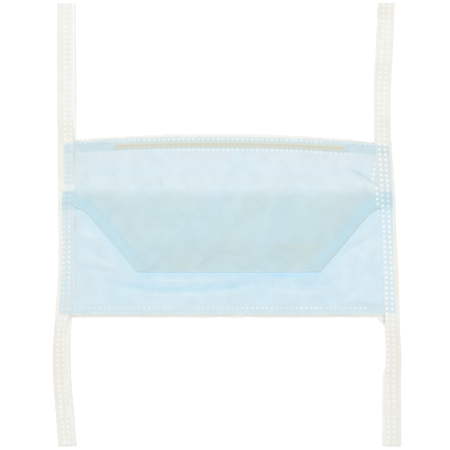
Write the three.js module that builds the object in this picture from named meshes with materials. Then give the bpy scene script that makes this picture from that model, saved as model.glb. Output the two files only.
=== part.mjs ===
// Tie-on surgical face mask with a folded pouch, lying flat with its outer face up.
// Millimetres: X runs across the mask, Y towards its top edge, Z up from the surface it lies on.
// The shell is one sheet folded in a Z: the upper ply runs down to the pouch's front fold, the
// middle ply runs back up to the root fold, and the lower ply runs down to the bottom edge.
import * as THREE from "three";

// Cloth
const wall = 1; // thickness of every cloth wall
const plyGap = 0.3; // clearance between pieces and plies that lie on each other

// Body, measured on the shell
const bodyWidth = 170;
const bodyHeight = 92;
const topArch = 4.1; // fall of the top edge from its middle to its lower end

// Pouch
const pouchRoot = 27.5; // from the top edge's middle down to the root fold
const pouchDepth = 42; // from the root fold down to the front fold
const frontWidth = 94.6; // length of the front fold
const frontShift = 0.7; // the front fold lies this far right of the middle
const seamWidth = 4.7; // heat-sealed band along each slanting side
const pouchPuff = 1.5; // how far the plies stand apart inside the pouch
const puffRun = 14; // width over which the plies part, inside the seams
const rootStep = 8; // height of the slope where the upper ply runs over the root fold

// Nose wire and the hems
const wireLength = 119;
const wireWidth = 2.6;
const wireThickness = 0.7;
const wireDrop = 3.3; // from the shell's top edge down to the wire's middle
const wireShift = 1.2; // the wire lies this far right of the middle
const ridgeRamp = 1.2; // slope beside the ridge that the wire makes in the shell
const hemAllowance = 2.4; // lining below the wire
const topMargin = 1.9; // lining that shows above the shell
const bottomHem = 5; // lining under the shell's bottom edge
const bottomMargin = 1; // lining that shows below the shell
const hemRamp = 3; // slope where the shell comes down off a hem
const earWidth = 4; // loose corner of lining at the lower right
const earLength = 4.4;

// Ties: each is one strip, folded lengthwise round a side edge of the body
const tieWidth = 9.8;
const topTieLength = 69.5; // free length above the body
const bottomTieLength = 67.5; // free length below the body
const leftOverhang = 2.3; // from the shell's edge out to the strip's fold
const rightOverhang = 1.7;
const sideEase = 11; // width over which the shell comes down off the ties' back legs
const coverEase = 7; // length over which a tie's front leg climbs onto what it covers
const coverLead = 2; // the climb is over this far before the covered edge

// Top edge: across is a share of half the width, fall a share of topArch, margin of topMargin
const topEdge = [
  { across: -1, fall: 0.65, margin: 0.6 },
  { across: -0.87, fall: 0.42, margin: 0.68 },
  { across: -0.6, fall: 0.14, margin: 0.75 },
  { across: -0.35, fall: 0, margin: 0.92 },
  { across: 0.14, fall: 0, margin: 0.98 },
  { across: 0.4, fall: 0.13, margin: 0.85 },
  { across: 0.57, fall: 0.32, margin: 0.78 },
  { across: 0.75, fall: 0.52, margin: 0.65 },
  { across: 0.88, fall: 0.73, margin: 0.35 },
  { across: 1, fall: 1, margin: 0.2 },
];

// Slanting sides of the pouch: inset is a share of the inset at the front fold, and left and right
// are depths on the two sides, as shares of pouchDepth.
const pouchSide = [
  { inset: 0, left: 0.205, right: 0.21 },
  { inset: 0.14, left: 0.2, right: 0.215 },
  { inset: 0.21, left: 0.217, right: 0.232 },
  { inset: 0.29, left: 0.255, right: 0.272 },
  { inset: 0.37, left: 0.32, right: 0.35 },
  { inset: 0.45, left: 0.4, right: 0.425 },
  { inset: 0.52, left: 0.475, right: 0.505 },
  { inset: 0.78, left: 0.75, right: 0.777 },
  { inset: 1, left: 1, right: 1 },
];

// Ties from the top end down. body is a share of half the body's height and free a share of the
// free length beyond it. drift is outwards, and drift, front, back and lift are shares of tieWidth.
const leftTie = [
  { body: 1, free: 1, drift: 0.05, front: 0.8, back: 0.98, lift: 0 },
  { body: 1, free: 0.75, drift: 0.05, front: 0.8, back: 0.98, lift: 0.06 },
  { body: 1, free: 0.5, drift: 0.05, front: 0.8, back: 0.98, lift: 0.1 },
  { body: 1, free: 0.2, drift: 0.04, front: 0.8, back: 0.98, lift: 0.03 },
  { body: 1, free: 0.05, drift: 0.02, front: 0.84, back: 0.97, lift: 0 },
  { body: 0.35, free: 0, drift: 0, front: 0.93, back: 0.95, lift: 0 },
  { body: -0.15, free: 0, drift: -0.04, front: 0.92, back: 0.93, lift: 0 },
  { body: -0.6, free: 0, drift: 0, front: 0.92, back: 0.93, lift: 0 },
  { body: -0.88, free: 0, drift: 0.1, front: 0.88, back: 0.92, lift: 0 },
  { body: -1, free: 0.05, drift: 0.17, front: 0.74, back: 0.9, lift: 0 },
  { body: -1, free: 0.15, drift: 0.22, front: 0.66, back: 0.9, lift: 0.03 },
  { body: -1, free: 0.35, drift: 0.27, front: 0.64, back: 0.93, lift: 0.1 },
  { body: -1, free: 0.55, drift: 0.22, front: 0.64, back: 0.95, lift: 0.08 },
  { body: -1, free: 0.75, drift: 0.11, front: 0.66, back: 0.97, lift: 0.03 },
  { body: -1, free: 0.9, drift: 0.04, front: 0.68, back: 0.98, lift: 0 },
  { body: -1, free: 1, drift: -0.03, front: 0.68, back: 0.98, lift: 0 },
];
const rightTie = [
  { body: 1, free: 1, drift: 0, front: 0.88, back: 0.86, lift: 0 },
  { body: 1, free: 0.8, drift: -0.06, front: 0.88, back: 0.86, lift: 0.05 },
  { body: 1, free: 0.6, drift: -0.13, front: 0.88, back: 0.86, lift: 0.11 },
  { body: 1, free: 0.35, drift: -0.21, front: 0.88, back: 0.86, lift: 0.08 },
  { body: 1, free: 0.12, drift: -0.21, front: 0.88, back: 0.86, lift: 0 },
  { body: 0.9, free: 0, drift: -0.17, front: 0.86, back: 0.88, lift: 0 },
  { body: 0.62, free: 0, drift: -0.08, front: 0.82, back: 0.9, lift: 0 },
  { body: 0.35, free: 0, drift: 0, front: 0.8, back: 0.92, lift: 0 },
  { body: -0.1, free: 0, drift: 0.08, front: 0.8, back: 0.92, lift: 0 },
  { body: -0.5, free: 0, drift: 0.18, front: 0.78, back: 0.88, lift: 0 },
  { body: -0.88, free: 0, drift: 0.23, front: 0.78, back: 0.82, lift: 0 },
  { body: -1, free: 0.05, drift: 0.26, front: 0.78, back: 0.78, lift: 0 },
  { body: -1, free: 0.2, drift: 0.31, front: 0.78, back: 0.76, lift: 0.05 },
  { body: -1, free: 0.34, drift: 0.35, front: 0.79, back: 0.77, lift: 0.11 },
  { body: -1, free: 0.44, drift: 0.33, front: 0.78, back: 0.92, lift: 0.1 },
  { body: -1, free: 0.56, drift: 0.33, front: 0.76, back: 0.98, lift: 0.06 },
  { body: -1, free: 0.78, drift: 0.35, front: 0.76, back: 1, lift: 0.01 },
  { body: -1, free: 1, drift: 0.35, front: 0.76, back: 1, lift: 0 },
];

// Soft ridges in the cloth. across is a share of half the width, down and breadth of the height,
// length of the width, and rise of the wall; length and breadth are halves. turn is in degrees.
const ridges = [
  { across: 0.82, down: 0.22, length: 0.13, breadth: 0.065, turn: -32, rise: 0.9 },
  { across: -0.45, down: 0.2, length: 0.1, breadth: 0.09, turn: 70, rise: 0.35 },
  { across: 0.15, down: 0.18, length: 0.3, breadth: 0.08, turn: 3, rise: 0.4 },
  { across: -0.3, down: 0.83, length: 0.3, breadth: 0.055, turn: -4, rise: 0.7 },
  { across: 0.28, down: 0.81, length: 0.27, breadth: 0.055, turn: 7, rise: 0.7 },
  { across: -0.05, down: 0.89, length: 0.4, breadth: 0.05, turn: 1, rise: 0.4 },
  { across: -0.7, down: 0.62, length: 0.12, breadth: 0.09, turn: 18, rise: 0.5 },
  { across: 0.72, down: 0.68, length: 0.12, breadth: 0.09, turn: -25, rise: 0.5 },
];

// Mesh resolution
const middleColumns = 20; // columns between the eased sides
const easeColumns = 3;
const panelRows = 5; // rows of the upper ply above the root step
const stepRows = 4;
const pouchRows = 8;
const middleRows = 5;
const coveredRows = 9; // rows of the lower ply under the pouch
const openRows = 7; // rows of the lower ply below the pouch
const foldSteps = 4;
const bindingSteps = 6; // steps round a tie's lengthwise fold
const endProbes = 4; // steps at which a lining's end is held clear of a tie
const liningColumns = 22;
const wireSteps = 16;
const tieStep = 5.5; // most distance between two sections of a tie

// Lines and levels that follow from the sizes above
const halfWidth = bodyWidth / 2;
const topY = bodyHeight / 2;
const bottomY = -topY;
const rootY = topY - pouchRoot;
const frontY = rootY - pouchDepth;
const plyRise = wall + plyGap; // from one ply up to the next
const foldRadius = plyRise / 2; // middle of the wall, round a tight fold
const foldReach = foldRadius + wall / 2; // outside of the wall, round a tight fold
const wireFrom = wireDrop - wireWidth / 2 - plyGap; // drop at which the ridge is full
const wireTo = wireDrop + wireWidth / 2 + plyGap;
const topHem = wireDrop + wireWidth / 2 + hemAllowance;
const bindingReach = tieWidth - Math.min(leftOverhang, rightOverhang) + plyGap;
const columnPitch = (bodyWidth - 2 * (bindingReach + sideEase)) / middleColumns;

const { lerp, clamp, smoothstep, degToRad } = THREE.MathUtils;

// The smooth line through a table's rows, as a function of the place along it.
function tableLine(rows, placeOf, valueOf) {
  const sorted = [...rows].sort((a, b) => placeOf(a) - placeOf(b));
  const line = new THREE.CubicInterpolant(sorted.map(placeOf), sorted.map(valueOf), 1);
  return (place) => line.evaluate(place)[0];
}

// Evenly spaced numbers from the first to the last, both counted.
function spaced(from, to, steps) {
  return Array.from({ length: steps + 1 }, (_, i) => lerp(from, to, i / steps));
}

// The four lines that describe a tie, all as functions of y. Side is -1 on the left and 1 on the right.
function tieLines(rows, side, overhang) {
  const placeOf = (row) =>
    row.body * topY + row.free * (row.body > 0 ? topTieLength : -bottomTieLength);
  const line = (column) => tableLine(rows, placeOf, (row) => row[column] * tieWidth);
  const drift = line("drift");
  const raise = line("lift");
  return {
    side,
    shellEdge: (y) => side * (halfWidth + drift(y)),
    foldX: (y) => side * (halfWidth + overhang + drift(y)),
    front: line("front"),
    back: line("back"),
    lift: (y) => Math.max(0, raise(y)),
  };
}

const left = tieLines(leftTie, -1, leftOverhang);
const right = tieLines(rightTie, 1, rightOverhang);

const topFall = tableLine(topEdge, (row) => row.across * halfWidth, (row) => row.fall * topArch);
const marginAt = tableLine(topEdge, (row) => row.across * halfWidth, (row) => row.margin * topMargin);

const topAt = (x) => topY - topFall(x);
const insetAt = (x, y) => Math.min(x - left.shellEdge(y), right.shellEdge(y) - x);

// One slanting side of the pouch, as a function of the inset from the body's side.
function pouchSlant(column, shift) {
  const frontInset = (bodyWidth - frontWidth) / 2 + shift;
  const depth = tableLine(
    pouchSide,
    (row) => row.inset * frontInset,
    (row) => row[column] * pouchDepth,
  );
  return (inset) => rootY - depth(clamp(inset, 0, frontInset));
}

const leftSlant = pouchSlant("left", frontShift);
const rightSlant = pouchSlant("right", -frontShift);
const shoulderY = Math.min(leftSlant(bindingReach), rightSlant(bindingReach)); // folds' end at the ties

// The pouch's front fold in the middle, and its slanting sides beside it.
function pouchEdge(x) {
  return x < 0 ? leftSlant(x + halfWidth) : rightSlant(halfWidth - x);
}

// 1 over the ties' back legs, and 0 where the shell lies on the surface beside them.
function overTies(x, y) {
  return 1 - smoothstep(insetAt(x, y), bindingReach, bindingReach + sideEase);
}

// 1 over the two strips of lining, and 0 beside them.
function overHems(x, y) {
  const upper = topAt(x) - topHem - plyGap;
  const lower = bottomY + bottomHem + plyGap;
  return Math.max(smoothstep(y, upper - hemRamp, upper), 1 - smoothstep(y, lower, lower + hemRamp));
}

// Height of the ridge that the nose wire makes.
function wireRidge(x, y) {
  const drop = topAt(x) - y;
  const along = Math.abs(x - wireShift) - wireLength / 2;
  const climb = smoothstep(drop, wireFrom - ridgeRamp, wireFrom);
  const descent = 1 - smoothstep(drop, wireTo, wireTo + ridgeRamp);
  const end = 1 - smoothstep(along, columnPitch, 2 * columnPitch);
  return (wireThickness + plyGap) * climb * descent * end;
}

// Height of the soft ridges in the cloth.
function softRidges(x, y) {
  let height = 0;
  for (const { across, down, length, breadth, turn, rise } of ridges) {
    const dx = x - across * halfWidth;
    const dy = y - (topY - down * bodyHeight);
    const angle = degToRad(turn);
    const u = (dx * Math.cos(angle) + dy * Math.sin(angle)) / (length * bodyWidth);
    const v = (dy * Math.cos(angle) - dx * Math.sin(angle)) / (breadth * bodyHeight);
    height += rise * wall * Math.max(0, 1 - u * u - v * v) ** 2;
  }
  return height;
}

// Underside of the lowest ply.
function bedAt(x, y) {
  const ties = overTies(x, y);
  const raised = 1 - (1 - ties) * (1 - overHems(x, y));
  return plyRise * raised + wireRidge(x, y) + softRidges(x, y) * (1 - raised);
}

// Middle of the wall of each ply.
const lowerPly = (x, y) => bedAt(x, y) + wall / 2;
const middlePly = (x, y) => lowerPly(x, y) + plyRise;

function upperPly(x, y) {
  const overRoot = 1 - smoothstep(y, rootY + plyGap, rootY + rootStep);
  const above = y - pouchEdge(x);
  const puff = pouchPuff * smoothstep(above, seamWidth, seamWidth + puffRun) * (1 - overTies(x, y));
  return lowerPly(x, y) + overRoot * (2 * plyRise + puff);
}

// A closed wall from columns of stations, each with an outer and an inner point. Seen from outside,
// the columns follow each other from left to right where their stations run down.
function clothWall(columns) {
  const rows = columns[0].length;
  const points = [];
  for (const column of columns) {
    for (const { outer, inner } of column) points.push(...outer, ...inner);
  }
  const outer = (c, r) => 2 * (c * rows + r);
  const inner = (c, r) => outer(c, r) + 1;
  const faces = [];
  const quad = (a, b, c, d) => faces.push(a, b, c, a, c, d);
  const lastColumn = columns.length - 1;
  const lastRow = rows - 1;
  for (let c = 0; c < lastColumn; c++) {
    for (let r = 0; r < lastRow; r++) {
      quad(outer(c, r), outer(c, r + 1), outer(c + 1, r + 1), outer(c + 1, r));
      quad(inner(c, r), inner(c + 1, r), inner(c + 1, r + 1), inner(c, r + 1));
    }
    quad(outer(c, 0), outer(c + 1, 0), inner(c + 1, 0), inner(c, 0));
    quad(outer(c, lastRow), inner(c, lastRow), inner(c + 1, lastRow), outer(c + 1, lastRow));
  }
  for (let r = 0; r < lastRow; r++) {
    quad(outer(0, r), inner(0, r), inner(0, r + 1), outer(0, r + 1));
    quad(
      outer(lastColumn, r),
      outer(lastColumn, r + 1),
      inner(lastColumn, r + 1),
      inner(lastColumn, r),
    );
  }
  const geometry = new THREE.BufferGeometry();
  geometry.setAttribute("position", new THREE.Float32BufferAttribute(points, 3));
  geometry.setIndex(faces);
  geometry.computeVertexNormals();
  return geometry;
}

// Shares of the shell's width at which its columns stand: denser where it comes off the ties.
function shellShares() {
  const flat = (bindingReach + plyGap) / bodyWidth;
  const eased = (bindingReach + sideEase) / bodyWidth;
  const side = [0, flat / 2, ...spaced(flat, eased, easeColumns)];
  const middle = spaced(eased, 1 - eased, middleColumns).slice(1, -1);
  return [...side, ...middle, ...side.map((share) => 1 - share).reverse()];
}

// The shell's section at one share of its width, from the top edge along the Z to the bottom edge.
function shellColumn(share) {
  const xAt = (y) => lerp(left.shellEdge(y), right.shellEdge(y), share);
  const station = (y, z, ny, nz) => {
    const half = wall / 2;
    const x = xAt(y);
    return {
      outer: [x, y + half * ny, z + half * nz],
      inner: [x, y - half * ny, z - half * nz],
    };
  };
  const ply = (ys, heightAt, facing) => ys.map((y) => station(y, heightAt(xAt(y), y), 0, facing));

  // Half a turn at y. Way is -1 where the fold points down the mask; the outer face is outside it.
  const fold = (y, way) =>
    spaced(0, Math.PI, foldSteps).slice(1, -1).map((angle) => {
      const x = xAt(y);
      const centre = (way < 0 ? middlePly(x, y) : lowerPly(x, y)) + foldRadius;
      const ny = way * Math.sin(angle);
      const nz = Math.cos(angle);
      return station(y + foldRadius * ny, centre + foldRadius * nz, -way * ny, -way * nz);
    });

  const top = topAt(xAt(topY));
  const hemEnd = topHem + plyGap;
  const hemDrops = [0, wireFrom - ridgeRamp, wireFrom, wireTo, wireTo + ridgeRamp];
  const hemYs = [...hemDrops, hemEnd].sort((a, b) => a - b).map((drop) => top - drop);
  const stepTop = rootY + rootStep;
  const front = pouchEdge(xAt(rootY)) + foldReach;
  const root = rootY - foldReach;
  const bottomHemY = bottomY + bottomHem + plyGap;
  const upperYs = [
    ...hemYs,
    ...spaced(top - hemEnd - hemRamp, stepTop, panelRows - 1),
    ...spaced(stepTop, rootY + plyGap, stepRows).slice(1),
    ...spaced(rootY + plyGap, front, pouchRows).slice(1),
  ];
  const lowerYs = [
    ...spaced(root, frontY, coveredRows),
    ...spaced(frontY, bottomHemY + hemRamp, openRows).slice(1),
    ...spaced(bottomHemY, bottomY, 1),
  ];
  return [
    ...ply(upperYs, upperPly, 1),
    ...fold(front, -1),
    ...ply(spaced(front, root, middleRows), middlePly, -1),
    ...fold(root, 1),
    ...ply(lowerYs, lowerPly, 1),
  ];
}

// A flat strip of lining between two lines, clear of the ties' back legs.
function liningStrip(upperAt, lowerAt) {
  const reachIn = ({ side, foldX, back }) => {
    const ys = spaced(lowerAt(side * halfWidth), upperAt(side * halfWidth), endProbes);
    const edges = ys.map((y) => Math.abs(foldX(y)) - back(y));
    return side * (Math.min(...edges) - plyGap);
  };
  const columns = spaced(reachIn(left), reachIn(right), liningColumns).map((x) =>
    [upperAt(x), lowerAt(x)].map((y) => ({ outer: [x, y, wall], inner: [x, y, 0] })),
  );
  return clothWall(columns);
}

function topLining() {
  return liningStrip((x) => topAt(x) + marginAt(x), (x) => topAt(x) - topHem);
}

// The loose corner hangs from the lining's right end.
function bottomLining() {
  const cornerX = right.shellEdge(bottomY) - bindingReach;
  const ear = (x) => earLength * clamp((x - cornerX + earWidth) / earWidth, 0, 1);
  return liningStrip(() => bottomY + bottomHem, (x) => bottomY - bottomMargin - ear(x));
}

// A flat bar with round edges that follows the top edge.
function noseWire() {
  const round = wireThickness / 2;
  const flat = wireWidth / 2 - round;
  const section = new THREE.Shape();
  section.absarc(0, flat, round, 0, Math.PI);
  section.absarc(0, -flat, round, Math.PI, 2 * Math.PI);
  const xs = spaced(wireShift - wireLength / 2, wireShift + wireLength / 2, wireSteps);
  const height = plyRise + wireThickness / 2;
  const path = new THREE.CatmullRomCurve3(
    xs.map((x) => new THREE.Vector3(x, topAt(x) - wireDrop, height)),
  );
  return new THREE.ExtrudeGeometry(section, {
    steps: wireSteps,
    extrudePath: path,
    curveSegments: foldSteps,
  });
}

// Space between a tie's two legs: nothing at the free ends, one ply along the body, three over the
// end of the pouch's folds.
function tieOpening(y) {
  const body =
    smoothstep(y, bottomY - coverLead - coverEase, bottomY - coverLead) *
    (1 - smoothstep(y, topY + coverLead, topY + coverLead + coverEase));
  const folds =
    smoothstep(y, shoulderY - coverLead - coverEase, shoulderY - coverLead) *
    (1 - smoothstep(y, rootY + coverLead, rootY + rootStep + coverLead));
  return plyGap + plyRise * body + 2 * plyRise * folds;
}

// Places of a tie's sections: every place where its opening starts or stops to change, and between.
function tiePlaces() {
  const places = [
    bottomY - bottomTieLength,
    bottomY - coverLead - coverEase,
    bottomY - coverLead,
    shoulderY - coverLead - coverEase,
    shoulderY - coverLead,
    rootY + coverLead,
    rootY + rootStep + coverLead,
    topY + coverLead,
    topY + coverLead + coverEase,
    topY + topTieLength,
  ].sort((a, b) => a - b);
  return places.flatMap((place, i) => {
    if (i === 0) return [place];
    const steps = Math.ceil((place - places[i - 1]) / tieStep);
    return steps > 0 ? spaced(places[i - 1], place, steps).slice(1) : [];
  });
}

// A strip folded lengthwise: a back leg on the surface, a fold outside, and a front leg over the body.
function tieStrip({ side, foldX, front, back, lift }) {
  const foldDepth = wall + plyGap;
  const sections = tiePlaces().map((y) => {
    const opening = tieOpening(y);
    const floor = lift(y);
    const outside = foldX(y);
    const middle = floor + wall + opening / 2;
    const leg = (reach, low) => {
      const x = outside - side * reach;
      return low < 0
        ? { outer: [x, y, floor], inner: [x, y, floor + wall] }
        : { outer: [x, y, middle + opening / 2 + wall], inner: [x, y, middle + opening / 2] };
    };
    const turn = spaced(-Math.PI / 2, Math.PI / 2, bindingSteps).map((angle) => {
      const out = Math.cos(angle);
      const up = Math.sin(angle);
      const x = outside - side * foldDepth;
      return {
        outer: [x + side * foldDepth * out, y, middle + (opening / 2 + wall) * up],
        inner: [x + side * plyGap * out, y, middle + (opening / 2) * up],
      };
    });
    return [leg(back(y), -1), ...turn, leg(front(y), 1)];
  });
  return clothWall(side < 0 ? sections : sections.reverse()); // keeps the faces pointing out
}

const mask = new THREE.Group();

function addPiece(name, geometry, colour, roughness, metalness = 0) {
  const material = new THREE.MeshStandardMaterial({ color: colour, roughness, metalness });
  const piece = new THREE.Mesh(geometry, material);
  piece.name = name;
  mask.add(piece);
}

addPiece("outer_shell", clothWall(shellShares().map(shellColumn)), 0xd6e9ef, 0.85);
addPiece("top_lining_edge", topLining(), 0xf4f4f1, 0.9);
addPiece("bottom_lining_edge", bottomLining(), 0xeaebe7, 0.9);
addPiece("nose_wire", noseWire(), 0xd8dbce, 0.5);
addPiece("tie_left", tieStrip(left), 0xf2f2ee, 0.9);
addPiece("tie_right", tieStrip(right), 0xf4f3f0, 0.9);

// The origin is on the surface, under the middle of the whole mask with its ties.
const middle = new THREE.Box3().setFromObject(mask).getCenter(new THREE.Vector3());
mask.position.set(-middle.x, -middle.y, 0);

export default mask;
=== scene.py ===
# A tie-on surgical face mask with a folded pouch, lying flat with its outer face up.
# Shapes are worked out in millimetres from the middle of the mask's body, with X across it and Y
# towards its top edge. add_mesh() puts them in the frame's place, in metres.
import math

import bpy
import numpy as np
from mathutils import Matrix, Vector


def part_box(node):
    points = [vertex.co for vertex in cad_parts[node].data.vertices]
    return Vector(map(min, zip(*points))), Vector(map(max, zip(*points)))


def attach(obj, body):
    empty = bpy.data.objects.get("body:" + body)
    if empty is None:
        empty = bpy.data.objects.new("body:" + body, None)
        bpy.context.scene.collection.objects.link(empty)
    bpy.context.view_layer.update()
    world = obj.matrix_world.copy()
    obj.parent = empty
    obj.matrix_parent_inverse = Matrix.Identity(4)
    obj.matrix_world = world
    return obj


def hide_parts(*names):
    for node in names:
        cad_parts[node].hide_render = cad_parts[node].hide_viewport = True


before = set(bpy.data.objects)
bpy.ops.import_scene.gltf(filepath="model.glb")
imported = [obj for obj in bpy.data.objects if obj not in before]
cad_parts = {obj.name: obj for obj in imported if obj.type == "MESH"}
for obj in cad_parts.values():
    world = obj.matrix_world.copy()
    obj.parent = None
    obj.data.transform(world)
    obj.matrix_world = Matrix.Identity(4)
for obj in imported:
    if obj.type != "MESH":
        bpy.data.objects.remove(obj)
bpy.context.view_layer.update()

MM = 0.001


def table(columns, rows):
    """A table's columns of numbers, by name."""
    return dict(zip(columns.split(), np.array(rows, float).T))


# Body, measured on the shell
BODY_WIDTH = 170.0
BODY_HEIGHT = 92.0
TOP_ARCH = 4.1  # fall of the top edge from its middle to its lower end
POUCH_ROOT = 27.5  # from the top edge's middle down to the root fold
POUCH_DEPTH = 42.0  # from the root fold down to the front fold
FRONT_WIDTH = 94.6
FRONT_SHIFT = 0.7  # the front fold lies this far right of the middle
SEAM_WIDTH = 5.2  # heat-sealed band along each slanting side of the pouch
ROOT_STEP = 8.5  # height of the slope where the upper ply runs over the root fold

# Cloth, as thick as the real one
SHELL = 0.32
LINING = 0.22
STRIP = 0.26
PRESSED = 0.5  # a ply's thickness at the pouch's edges, as a share of the whole
RIM_SHARE = 0.2  # a cloth's thickness at its cut edges, as a share of the whole
RIM_RUN = 0.9  # the thinning starts this far from the edge
CLEAR = 0.03  # between cloths that lie on each other
POUCH_AIR = 0.4  # between plies inside the pouch
POUCH_PUFF = 1.3
PUFF_RUN = 15.0
BED_RISE = 0.28  # lift of the shell over a strip or a hem
HEM_RAMP = 3.0
SIDE_EASE = 8.0
FRONT_LIFT = 0.1  # the front fold stands this far off the lower panel
WAVINESS = 0.55  # height of the cloth's broad waves

# Nose wire and the hems
WIRE_LENGTH = 119.0
WIRE_WIDTH = 2.6
WIRE_THICKNESS = 0.66
WIRE_DROP = 3.3  # from the shell's top edge down to the wire's middle
WIRE_SHIFT = 1.2
WIRE_RAMP = 1.1
TOP_MARGIN = 1.9
TOP_HEM = 7.0
BOTTOM_MARGIN = 1.0
BOTTOM_HEM = 5.0
EAR_WIDTH = 4.0  # loose corner of lining at the lower right
EAR_LENGTH = 4.4
LINING_GAP = 0.3  # between a lining's end and the ties' back legs
EAR_GAP = 0.45  # the same at the loose corner

# Ties
TIE_WIDTH = 9.8
TOP_TIE = 69.5  # free length above the body
BOTTOM_TIE = 67.5
LEFT_OVERHANG = 2.3  # from the shell's edge out to the strip's fold
RIGHT_OVERHANG = 1.7
COVER_EASE = 4.0  # length over which a tie climbs onto the body
SHOULDER_EASE = 1.6  # length over which it climbs onto the ends of the pouch's folds
NOTCH = 1.1  # depth of the small notch in the left tie's top end

# across is a share of half the width, fall a share of TOP_ARCH and margin of TOP_MARGIN
TOP_EDGE = table("across fall margin", [
    (-1, 0.65, 0.6),
    (-0.87, 0.42, 0.68),
    (-0.6, 0.14, 0.75),
    (-0.35, 0, 0.92),
    (0.14, 0, 0.98),
    (0.4, 0.13, 0.85),
    (0.57, 0.32, 0.78),
    (0.75, 0.52, 0.65),
    (0.88, 0.73, 0.35),
    (1, 1, 0.2),
])

# inset is a share of the inset at the front fold; left and right are shares of POUCH_DEPTH
POUCH_SIDE = table("inset left right", [
    (0, 0.205, 0.21),
    (0.14, 0.2, 0.215),
    (0.21, 0.217, 0.232),
    (0.29, 0.255, 0.272),
    (0.37, 0.32, 0.35),
    (0.45, 0.4, 0.425),
    (0.52, 0.475, 0.505),
    (0.78, 0.75, 0.777),
    (1, 1, 1),
])

# Ties from the top end down: body is a share of half the body's height, and free a share of the
# free length beyond it. Lift is off the floor, in millimetres. The rest are shares of TIE_WIDTH: drift is outwards, front and back are the
# legs' widths, near and far are the weld dots' distances from the fold, and
# over is the distance at which the shell starts to show through.
TIE_COLUMNS = "body free drift front back lift near far over"
LEFT_TIE = table(TIE_COLUMNS, [
    (1, 1, 0.05, 0.76, 1.01, 0, 0.43, 0.72, 0.3),
    (1, 0.75, 0.05, 0.76, 1.01, 0.1, 0.43, 0.72, 0.3),
    (1, 0.5, 0.05, 0.76, 1.01, 0.16, 0.43, 0.72, 0.3),
    (1, 0.2, 0.04, 0.76, 1.01, 0.05, 0.42, 0.72, 0.3),
    (1, 0.05, 0.02, 0.84, 0.99, 0, 0.41, 0.7, 0.31),
    (0.7, 0, 0.01, 0.91, 0.96, 0, 0.41, 0.69, 0.32),
    (0.43, 0, 0, 0.926, 0.95, 0, 0.405, 0.68, 0.31),
    (0.36, 0, 0, 0.93, 0.95, 0, 0.35, 0.62, 0.24),
    (0.1, 0, -0.02, 0.92, 0.94, 0, 0.31, 0.58, 0.21),
    (-0.15, 0, -0.04, 0.92, 0.93, 0, 0.28, 0.55, 0.2),
    (-0.6, 0, 0, 0.92, 0.93, 0, 0.3, 0.58, 0.19),
    (-0.88, 0, 0.1, 0.88, 0.92, 0, 0.35, 0.62, 0.19),
    (-1, 0.05, 0.17, 0.74, 0.9, 0, 0.26, 0.52, 0.19),
    (-1, 0.15, 0.22, 0.66, 0.9, 0.05, 0.25, 0.51, 0.19),
    (-1, 0.35, 0.27, 0.64, 0.93, 0.16, 0.26, 0.57, 0.19),
    (-1, 0.55, 0.22, 0.64, 0.95, 0.13, 0.29, 0.6, 0.19),
    (-1, 0.75, 0.11, 0.66, 0.97, 0.05, 0.3, 0.6, 0.19),
    (-1, 0.9, 0.04, 0.68, 0.98, 0, 0.34, 0.6, 0.19),
    (-1, 1, -0.03, 0.68, 0.98, 0, 0.34, 0.6, 0.19),
])
RIGHT_TIE = table(TIE_COLUMNS, [
    (1, 1, 0, 0.88, 0.86, 0, 0.26, 0.58, 0.1),
    (1, 0.8, -0.06, 0.88, 0.86, 0.08, 0.25, 0.57, 0.1),
    (1, 0.6, -0.13, 0.88, 0.86, 0.18, 0.26, 0.57, 0.1),
    (1, 0.35, -0.21, 0.88, 0.86, 0.13, 0.33, 0.61, 0.1),
    (1, 0.12, -0.21, 0.88, 0.86, 0, 0.345, 0.635, 0.1),
    (0.9, 0, -0.17, 0.86, 0.88, 0, 0.345, 0.635, 0.1),
    (0.62, 0, -0.08, 0.82, 0.9, 0, 0.347, 0.633, 0.1),
    (0.35, 0, 0, 0.8, 0.92, 0, 0.35, 0.65, 0.12),
    (-0.1, 0, 0.08, 0.8, 0.92, 0, 0.34, 0.635, 0.17),
    (-0.5, 0, 0.18, 0.78, 0.86, 0, 0.35, 0.64, 0.25),
    (-0.88, 0, 0.23, 0.78, 0.76, 0, 0.345, 0.643, 0.19),
    (-1, 0.05, 0.26, 0.78, 0.735, 0, 0.35, 0.643, 0.17),
    (-1, 0.2, 0.31, 0.78, 0.745, 0.08, 0.37, 0.65, 0.15),
    (-1, 0.34, 0.35, 0.79, 0.77, 0.18, 0.38, 0.67, 0.15),
    (-1, 0.44, 0.33, 0.78, 0.92, 0.16, 0.38, 0.68, 0.15),
    (-1, 0.56, 0.33, 0.76, 0.98, 0.1, 0.38, 0.68, 0.15),
    (-1, 0.78, 0.35, 0.76, 1.02, 0.02, 0.38, 0.67, 0.15),
    (-1, 1, 0.35, 0.76, 1.02, 0, 0.38, 0.67, 0.15),
])

# Weld dots
TIE_DOT_PITCH = 2.655
TIE_DOT_RADIUS = 0.9
TIE_DOT_DEPTH = 0.1
HEM_DOT_PITCH = 2.54
HEM_DOT_RADIUS = 0.85
HEM_DOT_HEIGHT = 0.06
EDGE_DOT_HEIGHT = 0.13  # of the row at the foot of the wire's ridge

HALF_WIDTH = BODY_WIDTH / 2
TOP_Y = BODY_HEIGHT / 2
BOTTOM_Y = -TOP_Y
ROOT_Y = TOP_Y - POUCH_ROOT
FRONT_Y = ROOT_Y - POUCH_DEPTH
BINDING_REACH = TIE_WIDTH - RIGHT_OVERHANG

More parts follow.
